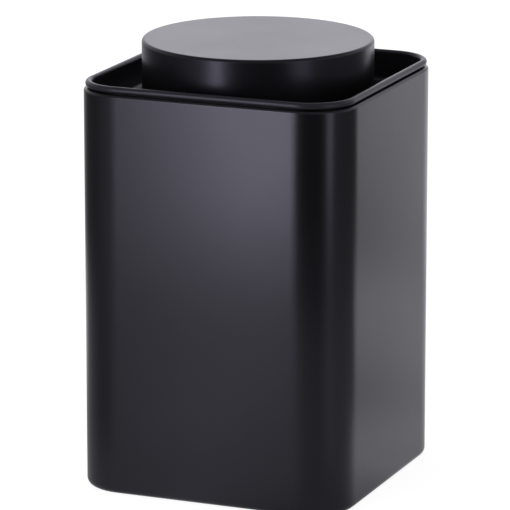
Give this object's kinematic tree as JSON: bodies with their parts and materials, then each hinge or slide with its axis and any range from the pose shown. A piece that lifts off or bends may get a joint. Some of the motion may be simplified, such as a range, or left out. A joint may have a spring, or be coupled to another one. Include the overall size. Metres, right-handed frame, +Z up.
{
  "type": "tea tin",
  "caption": "Square sheet-metal tea tin with rounded corners, a rolled rim round a recessed top, and a round press-in lid with a sealed plug.",
  "frame": {"origin": "centre of the square foot, on the surface that the tin stands on", "axes": "+Z up through the lid's centre, -Y out of the front wall, +X out of the right wall; the folded side seam is down the middle of the back wall, +Y"},
  "size_m": [0.1, 0.1, 0.1562],
  "materials": {
    "black_coat": "satin black powder coat on sheet steel",
    "liner_plastic": "moulded black plastic, fine matt grain",
    "seal_silicone": "soft grey silicone"
  },
  "bodies": {
    "tin": {"body_sleeve": "black_coat", "base_panel": "black_coat", "top_tray": "black_coat", "neck_collar": "black_coat"},
    "lid": {"lid_cap": "black_coat", "lid_liner": "liner_plastic", "lid_seal": "seal_silicone"}
  },
  "joints": [
    {"name": "lid_lift", "type": "slide", "parent": "tin", "child": "lid", "axis": [0, 0, 1], "range_m": [0, 0.09]}
  ]
}
